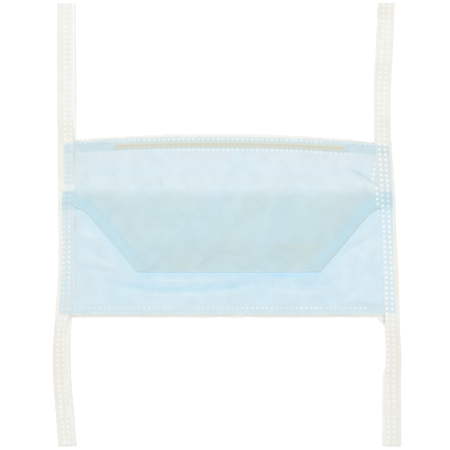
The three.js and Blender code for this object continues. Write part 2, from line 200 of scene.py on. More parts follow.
# Colours as the camera shows them, from 0 to 255
LIGHT = 1.145  # how bright a white surface is in this light
PANEL = (219, 235, 241)
PANEL_LEFT = (216, 233, 239)
PANEL_GREY = (222, 232, 238)
HEM = (205, 224, 231)
POUCH = (201, 224, 229)
POUCH_LOW = (199, 221, 225)
POUCH_SIDE_TONE = (204, 222, 226)
OLIVE = (205, 216, 208)
SEAM = (197, 222, 227)
SEAM_BRIGHT = (185, 229, 250)
SEAM_EDGE = (218, 225, 219)
LOWER = (212, 232, 240)
LOWER_BLUE = (207, 232, 243)
LOWER_DEEP = (200, 229, 241)
TRIANGLE = (214, 232, 239)
TRIANGLE_RIGHT = (216, 234, 242)
BESIDE_LEFT = (214, 230, 233)
BESIDE_RIGHT = (220, 230, 232)
TOP_RIM = (238, 244, 243)
# pale bottom edge: partly the lining's white, partly painted light against the shade along the edge
BOTTOM_RIM_AND_PAINTED_LIGHT = (240, 241, 237)
# painted light at the loose corner's right edge
EAR_RIM_PAINTED_LIGHT = (255, 255, 253)
ROOT_TONE = (209, 227, 230)
# painted light: a pale blue line just under the pouch's front fold
PAINTED_LIGHT_UNDER_FRONT = (201, 231, 244)
BOTTOM_BAND = (213, 230, 236)
WHITE = (245, 245, 242)
EDGE_WHITE = (243, 243, 238)
STRIP_WHITE = (241, 241, 235)
STRIP_SINGLE = (246, 246, 242)
STRIP_MARGIN = (238, 239, 233)
STRIP_VEIL = (222, 228, 226)
LEFT_VEIL = (212, 223, 221)
STRIP_LOW = (233, 230, 222)
SINGLE_LOW = (237, 236, 230)
# painted light at the back leg's free edge
SINGLE_RIM_PAINTED_LIGHT = (252, 252, 251)
STRIP_INNER = (229, 231, 232)
# painted light at the front leg's inner edge
STRIP_RIM_PAINTED_LIGHT = (247, 247, 243)
SHOULDER_TONE = (190, 219, 234)
DOT_WHITE = (250, 251, 250)
FOLD_TONE = (205, 229, 236)
SLANT_TONE = (220, 226, 218)
PAINTED_EDGE_LIGHT = (209, 237, 251)  # painted light: a pale line on the lower ply just outside the pouch's edges, for light coming through the cloth and against the shade beside the fold
WIRE_HALO = (219, 225, 216)
WIRE_CORE = (214, 212, 198)


def smoothstep(x, low, high):
    """0 below low, 1 above high, and smooth between them."""
    t = np.clip((x - low) / (high - low), 0, 1)
    return t * t * (3 - 2 * t)


def smooth_line(places, values):
    """The smooth line through a table's rows, as a function of the place along it."""
    order = np.argsort(places)
    at, value = np.asarray(places)[order], np.asarray(values)[order]
    secants = np.diff(value) / np.diff(at)
    slopes = np.concatenate((secants[:1], (secants[1:] + secants[:-1]) / 2, secants[-1:]))

    def line(x):
        x = np.clip(x, at[0], at[-1])
        i = np.clip(np.searchsorted(at, x, side="right") - 1, 0, len(at) - 2)
        width = at[i + 1] - at[i]
        t = (x - at[i]) / width
        rise = value[i + 1] - value[i]
        start, end = slopes[i] * width, slopes[i + 1] * width
        return value[i] + t * (start + t * (3 * rise - 2 * start - end + t * (start + end - 2 * rise)))

    return line


def waves(x, y, length, seed, count=7):
    """Smooth random waves of about that length, mostly between -1 and 1, the same on each run."""
    random = np.random.default_rng(seed)
    total = np.zeros(np.broadcast(x, y).shape)
    for _ in range(count):
        angle, phase = random.uniform(0, 2 * math.pi, 2)
        turns = 2 * math.pi / (length * random.uniform(0.7, 1.5))
        total += np.sin(turns * (x * math.cos(angle) + y * math.sin(angle)) + phase)
    return total / math.sqrt(count)


def mix(first, second, share):
    """A colour field between two colours or colour fields."""
    first, second = np.asarray(first, float), np.asarray(second, float)
    share = np.asarray(share)[..., None]
    return first * (1 - share) + second * share


# Lines of the body
top_fall = smooth_line(TOP_EDGE["across"] * HALF_WIDTH, TOP_EDGE["fall"] * TOP_ARCH)
margin_at = smooth_line(TOP_EDGE["across"] * HALF_WIDTH, TOP_EDGE["margin"] * TOP_MARGIN)


class Tie:
    """The lines that describe one tie, as functions of y. Side is -1 on the left and 1 on the right."""

    def __init__(self, rows, side, overhang):
        free = np.where(rows["body"] > 0, TOP_TIE, -BOTTOM_TIE)
        place = rows["body"] * TOP_Y + rows["free"] * free
        for name in ("drift", "front", "back", "near", "far", "over"):
            setattr(self, name, smooth_line(place, rows[name] * TIE_WIDTH))
        lift = smooth_line(place, rows["lift"])
        self.lift = lambda y: np.maximum(0, lift(y))
        self.side, self.overhang = side, overhang

    def shell_edge(self, y):
        return self.side * (HALF_WIDTH + self.drift(y))

    def fold(self, y):
        return self.side * (HALF_WIDTH + self.overhang + self.drift(y))


left = Tie(LEFT_TIE, -1, LEFT_OVERHANG)
right = Tie(RIGHT_TIE, 1, RIGHT_OVERHANG)


def top_at(x):
    return TOP_Y - top_fall(x)


def inset_at(x, y):
    """How far inside the body's side edges a place is."""
    return np.minimum(x - left.shell_edge(y), right.shell_edge(y) - x)


def pouch_slant(column, shift):
    """Height of one slanting side of the pouch, as a function of the inset from the body's side.
    The line runs straight on past the front fold's corner."""
    front_inset = (BODY_WIDTH - FRONT_WIDTH) / 2 + shift
    depth = smooth_line(POUCH_SIDE["inset"] * front_inset, POUCH_SIDE[column] * POUCH_DEPTH)
    end_slope = depth(front_inset) - depth(front_inset - 1)

    def slant(inset):
        inside = np.clip(inset, 0, front_inset)
        return ROOT_Y - depth(inside) - end_slope * np.maximum(inset - inside, 0)

    return slant


left_slant = pouch_slant("left", FRONT_SHIFT)
right_slant = pouch_slant("right", -FRONT_SHIFT)


def pouch_edge(x):
    """The pouch's front fold in the middle, and its slanting sides beside it."""
    sides = np.where(x < 0, left_slant(x + HALF_WIDTH), right_slant(HALF_WIDTH - x))
    return np.maximum(FRONT_Y, sides)


def slant_distance(x, y):
    """Distance in from the pouch's slanting sides, roughly square to them."""
    nearest = np.full(np.broadcast(x, y).shape, 1e3)
    for slant, inset in ((left_slant, x + HALF_WIDTH), (right_slant, HALF_WIDTH - x)):
        slope = (slant(inset + 0.5) - slant(inset - 0.5)) / 1.0
        nearest = np.minimum(nearest, (y - slant(inset)) / np.sqrt(1 + slope * slope))
    return nearest


def seam_distance(x, y):
    """Distance in from the pouch's front fold and its slanting sides, and below 0 outside them."""
    return np.minimum(y - FRONT_Y, slant_distance(x, y))


# Creases: a line of points, its half width, how high it stands, and how much it takes of a tone. The tones are partly
# the cloth showing through more or fewer layers where it folds, and partly painted shade in the valleys and painted
# light on the ridges.
PAINTED_CREASE_SHADE, PAINTED_CREASE_LIGHT, GREEN = (196, 228, 243), (232, 241, 245), (196, 216, 214)
UPPER_CREASES = [
    ([(64.7, 29.3), (71.5, 25.8), (78.2, 21)], 1.0, -0.4, (200, 219, 224), 0.8),
    ([(63.5, 25.5), (70.5, 22), (77, 18.8)], 1.8, 0.3, PAINTED_CREASE_LIGHT, 0.35),
    ([(-34.7, 25.5), (-33.6, 22), (-32.6, 18.5)], 0.9, -0.2, GREEN, 0.35),
    ([(-39.5, -22.5), (-36, -18.8), (-31.5, -15.8)], 0.7, -0.3, (190, 210, 208), 0.8),
    ([(-38, -21), (-34, -17.4), (-30, -14)], 0.6, 0.3, (208, 226, 228), 0.5),
    ([(-16.5, -22), (-11.5, -17.6), (-7, -15.6)], 0.7, -0.3, (187, 211, 216), 0.8),
    ([(-4, -13), (2, -13.6), (7.5, -14.6)], 1.0, -0.3, (188, 214, 220), 0.55),
    ([(22, -9.5), (34, -11), (48, -11.5)], 1.5, 0.35, OLIVE, 0.45),
    ([(10, -16), (24, -15), (40, -16.5)], 1.8, 0.25, GREEN, 0.3),
    ([(-45, 4), (-20, 6), (10, 3)], 3.0, 0.25, (198, 221, 228), 0.3),
    ([(-6, -5), (18, -3), (46, -6)], 3.0, 0.2, (198, 222, 229), 0.3),
]
LOWER_CREASES = [
    ([(-61, -28.5), (-47, -31), (-34, -32.6), (-14, -32.4), (2, -30.4), (14.6, -27)], 1.6, -0.55, PAINTED_CREASE_SHADE, 0.9),
    ([(-58, -31.5), (-40, -35.5), (-14, -35.6), (8, -33)], 1.5, 0.45, PAINTED_CREASE_LIGHT, 0.3),
    ([(-38, -27.6), (-20, -28.2), (-4, -27.4)], 1.1, 0.35, PAINTED_CREASE_LIGHT, 0.35),
    ([(-6, -33), (3, -31.2), (11, -29.4)], 0.8, -0.35, (188, 222, 240), 0.5),
    ([(34, -28.3), (44, -29.8), (53, -28.6)], 1.5, -0.35, PAINTED_CREASE_SHADE, 0.5),
    ([(20, -33), (40, -34.5), (58, -33)], 1.8, 0.4, PAINTED_CREASE_LIGHT, 0.25),
    ([(-68, -15.5), (-62.6, -19.3), (-54.5, -20.7)], 0.9, 0.3, PAINTED_CREASE_LIGHT, 0.5),
    ([(-76, -19.4), (-67.5, -22.2), (-58, -23)], 1.1, -0.35, (204, 226, 235), 0.5),
    ([(-74, -9), (-66, -14.5), (-60, -17.5)], 1.4, -0.3, (203, 226, 236), 0.5),
    ([(-73, -3), (-69, -6.5)], 1.6, 0.3, PAINTED_CREASE_LIGHT, 0.45),
    ([(75, -5), (67, -8.6), (60, -13.2)], 1.0, -0.35, (203, 226, 236), 0.5),
    ([(76, -7.5), (69, -10.5), (62, -15)], 1.1, 0.2, PAINTED_CREASE_LIGHT, 0.25),
    ([(64, -39.2), (71, -39.8), (77, -41.5)], 1.3, -0.3, (204, 224, 231), 0.6),
]


def crease_field(points, width, x, y):
    """1 on a crease's line, and less beside it and past its ends."""
    best = np.zeros(np.broadcast(x, y).shape)
    total = len(points) - 1
    for i, ((ax, ay), (bx, by)) in enumerate(zip(points, points[1:])):
        dx, dy = bx - ax, by - ay
        t = ((x - ax) * dx + (y - ay) * dy) / (dx * dx + dy * dy)
        inside = np.clip(t, 0, 1)
        away = np.hypot(x - ax - inside * dx, y - ay - inside * dy)
        along = (i + inside) / total
        best = np.maximum(best, np.exp(-(away / width) ** 2) * np.sin(math.pi * (0.12 + 0.76 * along)))
    return best


def crease_height(creases, x, y):
    return sum(rise * crease_field(points, width, x, y) for points, width, rise, _, _ in creases)


def crease_tone_and_shade(creases, colour, x, y):
    for points, width, _, tone, share in creases:
        colour = mix(colour, tone, share * crease_field(points, width, x, y))
    return colour


# Heights of the cloths above the floor
def over_ties(x, y):
    return 1 - smoothstep(inset_at(x, y), BINDING_REACH, BINDING_REACH + SIDE_EASE)


def over_hems(x, y):
    upper = top_at(x) - TOP_HEM
    lower = BOTTOM_Y + BOTTOM_HEM
    return np.maximum(smoothstep(y, upper - HEM_RAMP, upper), 1 - smoothstep(y, lower, lower + HEM_RAMP))


def wire_ridge(x, y):
    away = np.abs(top_at(x) - y - WIRE_DROP) - WIRE_WIDTH / 2
    along = np.abs(x - WIRE_SHIFT) - WIRE_LENGTH / 2
    return (WIRE_THICKNESS + CLEAR) * (1 - smoothstep(away, 0, WIRE_RAMP)) * (1 - smoothstep(along, 0, 3))


def lower_z(x, y):
    """Middle of the lowest ply."""
    raised = 1 - (1 - over_ties(x, y)) * (1 - over_hems(x, y))
    broad = WAVINESS * (0.5 + 0.35 * waves(x, y, 46, 3) + 0.15 * waves(x, y, 19, 4))
    free = 1 - raised
    bed = BED_RISE * raised + np.maximum(broad, 0) * (0.25 + 0.75 * free) + wire_ridge(x, y)
    return 2 * CLEAR + SHELL / 2 + bed


def open_pouch(x, y):
    """0 at the pouch's edges, and 1 inside it."""
    above = seam_distance(x, y)
    return smoothstep(above, 0.6 * SEAM_WIDTH, SEAM_WIDTH + PUFF_RUN) * (1 - over_ties(x, y))


def front_lift(x, y):
    """Lift of the flap near its front fold."""
    near = np.exp(-np.maximum(y - FRONT_Y, 0) / 9)
    return FRONT_LIFT * near * (1 - smoothstep(np.abs(x - FRONT_SHIFT), 30, 52))


def ply(x, y):
    """Thickness of the pouch's plies, pressed thin along its edges."""
    return SHELL * (PRESSED + (1 - PRESSED) * smoothstep(seam_distance(x, y), 0.3, 4))


def middle_z(x, y):
    stack = (SHELL + ply(x, y)) / 2 + CLEAR + POUCH_AIR * open_pouch(x, y)
    return lower_z(x, y) + stack + 0.5 * front_lift(x, y)


def flap_z(x, y):
    """Middle of the upper ply where it covers the pouch."""
    inside = open_pouch(x, y)
    puff = POUCH_PUFF * inside * (1 + 0.25 * waves(x, y, 34, 8))
    dents = crease_height(UPPER_CREASES, x, y) * (0.3 + 0.7 * inside)
    ripple = 0.1 * waves(x, y, 11, 9) * inside
    stack = ply(x, y) + CLEAR + POUCH_AIR * inside + puff + 0.5 * front_lift(x, y)
    return middle_z(x, y) + stack + np.maximum(dents + ripple, -0.6 * (stack - ply(x, y)))


def upper_z(x, y):
    """Middle of the upper ply."""
    over_root = 1 - smoothstep(y, ROOT_Y + 0.4, ROOT_Y + ROOT_STEP)
    low = lower_z(x, y)
    free = (1 - over_ties(x, y)) * (1 - over_hems(x, y)) * (1 - over_root)
    dents = free * (crease_height(UPPER_CREASES, x, y) + 0.12 * waves(x, y, 13, 10))
    return np.maximum(low + over_root * (flap_z(x, y) - low) + dents, 1.5 * CLEAR + SHELL / 2)


def panel_z(x, y):
    """Middle of the lower ply where it shows below the pouch."""
    free = (1 - over_ties(x, y)) * (1 - over_hems(x, y))
    shows = smoothstep(pouch_edge(x) + 1 - y, 0, 4)
    dents = crease_height(LOWER_CREASES, x, y) + 0.12 * waves(x, y, 12, 11)
    return np.maximum(lower_z(x, y) + free * shows * dents, 1.5 * CLEAR + SHELL / 2)


def surface_z(x, y):
    """Top of the shell, whichever ply that is."""
    return np.where(y > pouch_edge(x), upper_z(x, y) + ply(x, y) / 2, panel_z(x, y) + SHELL / 2)


# Colours of the shell, as shares of what each ply lets through
def upper_tint(x, y):
    drop = top_at(x) - y
    colour = mix(PANEL, PANEL_LEFT, smoothstep(-x, 20, 70))
    colour = mix(colour, PANEL_GREY, 0.8 * smoothstep(drop, 6, 8) * (1 - smoothstep(drop, 10, 16)))
    colour = mix(colour, (214, 234, 243), 0.5 * smoothstep(waves(x, y, 30, 21), 0.2, 1.2))
    beside = mix(BESIDE_LEFT, BESIDE_RIGHT, smoothstep(x, -10, 10))
    colour = mix(colour, beside, 0.55 * (1 - smoothstep(inset_at(x, y), 9, 16)))
    colour = mix(colour, HEM, 1 - smoothstep(drop, 4.8, 6.6))
    colour = mix(colour, TOP_RIM, 0.65 * (1 - smoothstep(drop, 0.2, 1.3)))
    slope = smoothstep(y, ROOT_Y - 1, ROOT_Y + 2) * (1 - smoothstep(y, ROOT_Y + 6, ROOT_Y + 11))
    colour = mix(colour, (217, 230, 234), 0.5 * slope)
    ragged = 0.5 * waves(x, 0 * y, 24, 22) + 0.25 * waves(x, y, 9, 23)
    under = 1 - smoothstep(y + ragged, ROOT_Y - 4.2, ROOT_Y + 2.2)
    pouch = mix(POUCH, POUCH_LOW, smoothstep(-y, 2, 20))
    pouch = mix(pouch, ROOT_TONE, 0.7 * smoothstep(y, ROOT_Y - 12, ROOT_Y - 3))
    aside = smoothstep(np.abs(x), 42, 66)
    pouch = mix(pouch, POUCH_SIDE_TONE, 0.8 * aside)
    pouch = mix(pouch, (206, 224, 222), 0.55 * smoothstep(waves(x, y, 27, 24), 0.3, 1.4))
    pouch = mix(pouch, (198, 223, 232), 0.6 * smoothstep(-waves(x, y, 27, 24), 0.1, 1.2))
    seam = slant_distance(x, y)
    pouch = mix(pouch, (197, 222, 230), 1 - smoothstep(seam, SEAM_WIDTH, SEAM_WIDTH + 5))
    pouch = mix(pouch, SEAM, 1 - smoothstep(seam, SEAM_WIDTH - 0.6, SEAM_WIDTH + 0.2))
    clear = smoothstep(inset_at(x, y), BINDING_REACH - 1.5, BINDING_REACH)
    pouch = mix(pouch, SEAM_EDGE, 0.7 * clear * (1 - smoothstep(seam, 0.3, 1.1)))
    pouch = mix(pouch, (190, 217, 226), 0.5 * (1 - smoothstep(y - FRONT_Y, 0.2, 1.6)))
    colour = mix(colour, pouch, under)
    return crease_tone_and_shade(UPPER_CREASES, colour, x, y)


def lower_tint(x, y):
    drop = pouch_edge(x) - y
    middle = 1 - smoothstep(np.abs(x - FRONT_SHIFT), 44, 62)
    colour = mix(LOWER_BLUE, LOWER, smoothstep(drop, 3, 15))
    colour = mix(mix(TRIANGLE, TRIANGLE_RIGHT, smoothstep(x, -10, 40)), colour, middle)
    # painted light: a pale blue line on the lower ply just under the front fold, brightest right of the middle, for
    # light coming through the cloth and against the shade at the fold's edge
    colour = mix(colour, PAINTED_LIGHT_UNDER_FRONT, middle * (1 - smoothstep(np.abs(drop - 1), 0.4, 1.7)))
    bright = np.exp(-((x - 30) / 16) ** 2)
    colour = mix(colour, (190, 227, 253), 0.8 * bright * (1 - smoothstep(np.abs(drop - 1.6), 0.3, 1.8)))
    # painted light: a pale band on the lower ply just outside the pouch's slanting sides, for light coming through
    # the cloth there
    seam = -seam_distance(x, y)
    colour = mix(colour, (204, 232, 244), 0.8 * (1 - middle) * (1 - smoothstep(seam, 0.8, 4.5)))
    colour = mix(colour, (206, 231, 243), 0.5 * smoothstep(waves(x, y, 24, 31), 0.2, 1.3))
    hem = 1 - smoothstep(y, BOTTOM_Y + 5.2, BOTTOM_Y + 7.4)
    colour = mix(colour, BOTTOM_BAND, 0.85 * hem)
    # paler towards the bottom edge: partly the white lining showing through, and partly painted light that offsets
    # the shade along the edge
    colour = mix(colour, (219, 231, 232), 0.7 * (1 - smoothstep(y, BOTTOM_Y + 0.4, BOTTOM_Y + 1.8)))
    colour = mix(colour, BOTTOM_RIM_AND_PAINTED_LIGHT, 0.8 * (1 - smoothstep(y, BOTTOM_Y + 0.2, BOTTOM_Y + 1.4)))
    return crease_tone_and_shade(LOWER_CREASES, colour, x, y)


def shell_tint(x, y):
    return np.where((y > pouch_edge(x))[..., None], upper_tint(x, y), lower_tint(x, y))


# Meshes
bottom_lining_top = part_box("bottom_lining_edge")[1]
wire_low, wire_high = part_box("nose_wire")
ORIGIN = Vector((
    (wire_low.x + wire_high.x) / 2 - WIRE_SHIFT * MM,
    bottom_lining_top.y - (BOTTOM_Y + BOTTOM_HEM) * MM,
    0,
))


def linear(colour):
    """Base colour that shows as this colour in the scene's light."""
    share = np.clip(np.asarray(colour, float) / 255, 0, 1)
    light = np.where(share <= 0.04045, share / 12.92, ((share + 0.055) / 1.055) ** 2.4)
    return light / LIGHT


def add_mesh(name, points, faces, flat_faces, tint, place, material):
    """A piece from points in millimetres, with a colour and a place in its pattern at each point."""
    mesh = bpy.data.meshes.new(name)
    world = points.reshape(-1, 3) * MM + np.array(ORIGIN)
    mesh.from_pydata(world.tolist(), [], np.concatenate((faces, flat_faces)).tolist())
    smooth = np.arange(len(mesh.polygons)) < len(faces)
    mesh.polygons.foreach_set("use_smooth", smooth)
    colours = np.concatenate((linear(tint.reshape(-1, 3)), np.ones((len(world), 1))), 1)
    layer = mesh.color_attributes.new("tint", "FLOAT_COLOR", "POINT")
    layer.data.foreach_set("color", colours.astype(np.float32).ravel())
    layer = mesh.attributes.new("place", "FLOAT_VECTOR", "POINT")
    layer.data.foreach_set("vector", place.reshape(-1, 3).astype(np.float32).ravel())
    uv = mesh.uv_layers.new(name="cloth")
    corners = np.zeros(len(mesh.loops), int)
    mesh.loops.foreach_get("vertex_index", corners)
    uv.data.foreach_set("uv", (place.reshape(-1, 3)[corners, :2] * 0.01).astype(np.float32).ravel())
    mesh.materials.append(material)
    mesh.update()
    piece = bpy.data.objects.new(name, mesh)
    bpy.context.scene.collection.objects.link(piece)
    return piece


def unit(vectors):
    return vectors / np.maximum(np.linalg.norm(vectors, axis=-1, keepdims=True), 1e-9)


def rim_distance(points, axis):
    """Distance of each point from the nearer end of its row or column of the grid."""
    steps = np.linalg.norm(np.diff(points, axis=axis), axis=-1)
    run = np.cumsum(np.insert(steps, 0, 0, axis), axis)
    return np.minimum(run, np.take(run, [-1], axis) - run)


def cloth(name, middle, thickness, tint, back_tint, place, material, emboss=0):
    """A closed sheet round a grid of points at the middle of the cloth, front side up. Its upper side
    comes down to thin edges."""
    down, across = np.gradient(middle, axis=0), np.gradient(middle, axis=1)
    normal = unit(np.cross(down, across))
    rim = np.minimum(rim_distance(middle, 0), rim_distance(middle, 1))
    cut = thickness * (1 - RIM_SHARE) * (1 - smoothstep(rim, 0, RIM_RUN))
    upward = normal[..., 2] > 0
    rise = thickness / 2 + emboss - cut * upward
    sink = thickness / 2 - cut * ~upward
    points = np.stack((middle + normal * rise[..., None], middle - normal * sink[..., None]), 2)
    rows, columns = middle.shape[:2]
    index = np.arange(rows * columns * 2).reshape(rows, columns, 2)
    front, back = index[..., 0], index[..., 1]

    def quads(grid):
        return np.stack((grid[:-1, :-1], grid[1:, :-1], grid[1:, 1:], grid[:-1, 1:]), -1).reshape(-1, 4)

    faces = np.concatenate((quads(front), quads(back)[:, ::-1]))
    rims = []
    for edge, turned in ((0, False), (-1, True)):
        for a, b, flip in ((front[edge], back[edge], turned), (front[:, edge], back[:, edge], not turned)):
            rim = np.stack((a[:-1], a[1:], b[1:], b[:-1]), -1)
            rims.append(rim[:, ::-1] if flip else rim)
    tints = np.stack((tint, np.broadcast_to(back_tint, tint.shape)), 2)
    places = np.stack((place, place), 2)
    return add_mesh(name, points, faces, np.concatenate(rims), tints, places, material)


def stack_rows(*parts):
    return np.concatenate([np.asarray(part, float) for part in parts], 0)


def evenly(start, end, count):
    """count rows from start to end, the last left out, for each column."""
    shares = np.linspace(0, 1, count, endpoint=False)[:, None]
    return start * (1 - shares) + end * shares


# Materials
class Recipe:
    """A node material under construction, around one Principled shader."""

    def __init__(self, name):
        self.material = bpy.data.materials.new(name)
        self.material.use_nodes = True
        self.tree = self.material.node_tree
        self.shader = self.tree.nodes["Principled BSDF"]

    def node(self, kind, inputs=(), **settings):
        made = self.tree.nodes.new(kind)
        for key, value in settings.items():
            setattr(made, key, value)
        for key, value in dict(inputs).items():
            if isinstance(value, bpy.types.NodeSocket):
                self.tree.links.new(value, made.inputs[key])
            else:
                made.inputs[key].default_value = value
        return made

    def math(self, operation, *values):
        return self.node("ShaderNodeMath", enumerate(values), operation=operation).outputs[0]

    def noise(self, coordinates, scale, detail=3, roughness=0.55):
        values = {"Vector": coordinates, "Scale": scale, "Detail": detail, "Roughness": roughness}
        return self.node("ShaderNodeTexNoise", values).outputs["Fac"]

    def stretched(self, coordinates, scale, turn=0):
        values = {"Vector": coordinates, "Scale": scale, "Rotation": (0, 0, turn)}
        return self.node("ShaderNodeMapping", values).outputs[0]

    def ramp(self, value, low, high, start=0, end=1):
        values = {"Value": value, "From Min": low, "From Max": high, "To Min": start, "To Max": end}
        return self.node("ShaderNodeMapRange", values, interpolation_type="SMOOTHSTEP").outputs[0]

    def blend(self, share, first, second, blend_type="MIX"):
        made = self.node("ShaderNodeMix", data_type="RGBA", blend_type=blend_type)
        for socket, value in ((0, share), (6, first), (7, second)):
            if isinstance(value, bpy.types.NodeSocket):
                self.tree.links.new(value, made.inputs[socket])
            else:
                made.inputs[socket].default_value = value
        return made.outputs[2]

    def set(self, **values):
        for key, value in values.items():
            self.shader.inputs[key.replace("_", " ")].default_value = value

    def link(self, value, socket):
        self.tree.links.new(value, self.shader.inputs[socket])


def spunbond(name, cloud, fibre, bonds, bond_size, after=None):
    """Bonded fibre cloth: cloudy thick and thin places, fine fibres, and a grid of bonded points."""
    recipe = Recipe(name)
    millimetres = recipe.stretched(
        recipe.node("ShaderNodeTexCoord").outputs["Object"], (1 / MM, 1 / MM, 1 / MM)
    )
    clouds = recipe.noise(millimetres, 0.16, 4)
    fine = recipe.noise(recipe.stretched(millimetres, (1.5, 0.55, 1), 0.5), 1.0, 4, 0.7)
    finer = recipe.noise(recipe.stretched(millimetres, (0.7, 2.6, 1), -0.4), 1.6, 3, 0.7)
    fibres = recipe.math("MULTIPLY", recipe.math("ADD", fine, finer), 0.5)
    tint = recipe.node("ShaderNodeVertexColor", layer_name="tint").outputs["Color"]
    shade = recipe.math(
        "ADD",
        recipe.ramp(clouds, 0.3, 0.7, 1 - cloud, 1 + cloud),
        recipe.ramp(fibres, 0.35, 0.65, -fibre, fibre),
    )
    pattern = recipe.node("ShaderNodeUVMap", uv_map="cloth").outputs[0]
    cells = recipe.stretched(pattern, (100 / bonds, 100 / bonds, 1), 0.785)
    points = recipe.node(
        "ShaderNodeTexVoronoi", {"Vector": cells, "Scale": 1.0, "Randomness": 0.0}, voronoi_dimensions="2D"
    ).outputs["Distance"]
    bonded = recipe.ramp(points, bond_size, bond_size + 0.12, 1, 0)
    shade = recipe.math("ADD", shade, recipe.math("MULTIPLY", bonded, 0.012))
    scaled = recipe.node("ShaderNodeVectorMath", {0: tint}, operation="SCALE")
    recipe.tree.links.new(shade, scaled.inputs["Scale"])
    colour = scaled.outputs[0]
    if after:
        colour = after(recipe, colour)
    recipe.link(colour, "Base Color")
    height = recipe.math("SUBTRACT", fibres, recipe.math("MULTIPLY", bonded, 0.55))
    bump = recipe.node("ShaderNodeBump", {"Height": height, "Strength": 0.5, "Distance": 0.12 * MM})
    recipe.link(bump.outputs[0], "Normal")
    recipe.link(recipe.ramp(fibres, 0.3, 0.7, 0.82, 0.95), "Roughness")
    recipe.set(Specular_IOR_Level=0.25, Sheen_Weight=0.06, Sheen_Roughness=0.6)
    return recipe.material


def wire_line_and_painted_edge_light(recipe, colour):
    """The nose wire as it shows through the shell: a pale band with a darker line down its middle. Also painted light
    in a thin pale line on the lower ply just outside the pouch's edges.
    """
    place = recipe.node("ShaderNodeAttribute", attribute_name="place").outputs["Vector"]
    axes = recipe.node("ShaderNodeSeparateXYZ", {0: place}).outputs
    away = recipe.math("ABSOLUTE", recipe.math("SUBTRACT", axes[2], WIRE_DROP + 0.4))
    along = recipe.math("ABSOLUTE", recipe.math("SUBTRACT", axes[0], WIRE_SHIFT))
    inside = recipe.ramp(along, WIRE_LENGTH / 2 - 0.5, WIRE_LENGTH / 2 + 0.4, 1, 0)
    halo = recipe.math("MULTIPLY", recipe.ramp(away, 0.9, 2.5, 1, 0), inside)
    core = recipe.math("MULTIPLY", recipe.ramp(away, 0.3, 1.0, 1, 0), inside)
    colour = recipe.blend(halo, colour, (*linear(WIRE_HALO), 1))
    colour = recipe.blend(core, colour, (*linear(WIRE_CORE), 1))
    # painted light: a pale line on the lower ply just outside the pouch's edges
    painted_light = recipe.math("MULTIPLY", recipe.ramp(axes[2], -2.0, -0.6), recipe.ramp(axes[2], -0.2, 0.0, 0.7, 0))
    return recipe.blend(painted_light, colour, (*linear(PAINTED_EDGE_LIGHT), 1))


def seam_slashes(recipe, colour):
    """Rows of short slashes that the heat seal presses into the band."""
    place = recipe.node("ShaderNodeAttribute", attribute_name="place").outputs["Vector"]
    axes = recipe.node("ShaderNodeSeparateXYZ", {0: place}).outputs
    slanted = recipe.math("ADD", axes[0], recipe.math("MULTIPLY", axes[1], 0.9))
    phase = recipe.math("SINE", recipe.math("MULTIPLY", slanted, 2 * math.pi / SLASH_PITCH))
    rows = recipe.math("SINE", recipe.math("MULTIPLY", axes[1], 2 * math.pi / SLASH_ROW))
    slash = recipe.math("MULTIPLY", recipe.ramp(phase, -0.5, 0.5), recipe.ramp(rows, -0.8, 0.2))
    near, far = SEAM_WIDTH - 0.7, SEAM_WIDTH - 0.1
    inside = recipe.math("MULTIPLY", recipe.ramp(axes[1], 0.6, 1.0), recipe.ramp(axes[1], near, far, 1, 0))
    fading = recipe.math("MULTIPLY", inside, recipe.ramp(axes[2], 0.75, 0.97, 1, 0.2))
    return recipe.blend(recipe.math("MULTIPLY", slash, fading), colour, (*linear(SEAM_BRIGHT), 1))


SLASH_PITCH = 2.6
SLASH_ROW = 1.45
shell_cloth = spunbond("shell_cloth", 0.022, 0.014, 1.5, 0.16, wire_line_and_painted_edge_light)
seam_cloth = spunbond("seam_cloth", 0.02, 0.01, 1.5, 0.16, seam_slashes)
lining_cloth = spunbond("lining_cloth", 0.015, 0.012, 1.3, 0.15)
strip_cloth = spunbond("strip_cloth", 0.014, 0.014, 1.1, 0.14)


def wire_plastic():
    recipe = Recipe("wire_plastic")
    coordinates = recipe.node("ShaderNodeTexCoord").outputs["Object"]
    streaks = recipe.noise(recipe.stretched(coordinates, (60, 900, 900)), 3.0, 3)
    pale, dark = (*linear((236, 236, 226)), 1), (*linear((214, 214, 200)), 1)
    recipe.link(recipe.blend(recipe.ramp(streaks, 0.3, 0.7), pale, dark), "Base Color")
    recipe.link(recipe.ramp(streaks, 0.3, 0.7, 0.38, 0.55), "Roughness")
    bump = recipe.node("ShaderNodeBump", {"Height": streaks, "Strength": 0.3, "Distance": 0.05 * MM})
    recipe.link(bump.outputs[0], "Normal")
    return recipe.material


def paper_floor():
    recipe = Recipe("pale_floor")
    coordinates = recipe.node("ShaderNodeTexCoord").outputs["Object"]
    grain = recipe.noise(coordinates, 40.0, 3)
    first, second = (0.96, 0.96, 0.96, 1), (0.98, 0.98, 0.98, 1)
    recipe.link(recipe.blend(recipe.ramp(grain, 0.3, 0.7), first, second), "Base Color")
    recipe.set(Roughness=0.9, Specular_IOR_Level=0.1)
    return recipe.material


# The body
COLUMN_PITCH = 0.76


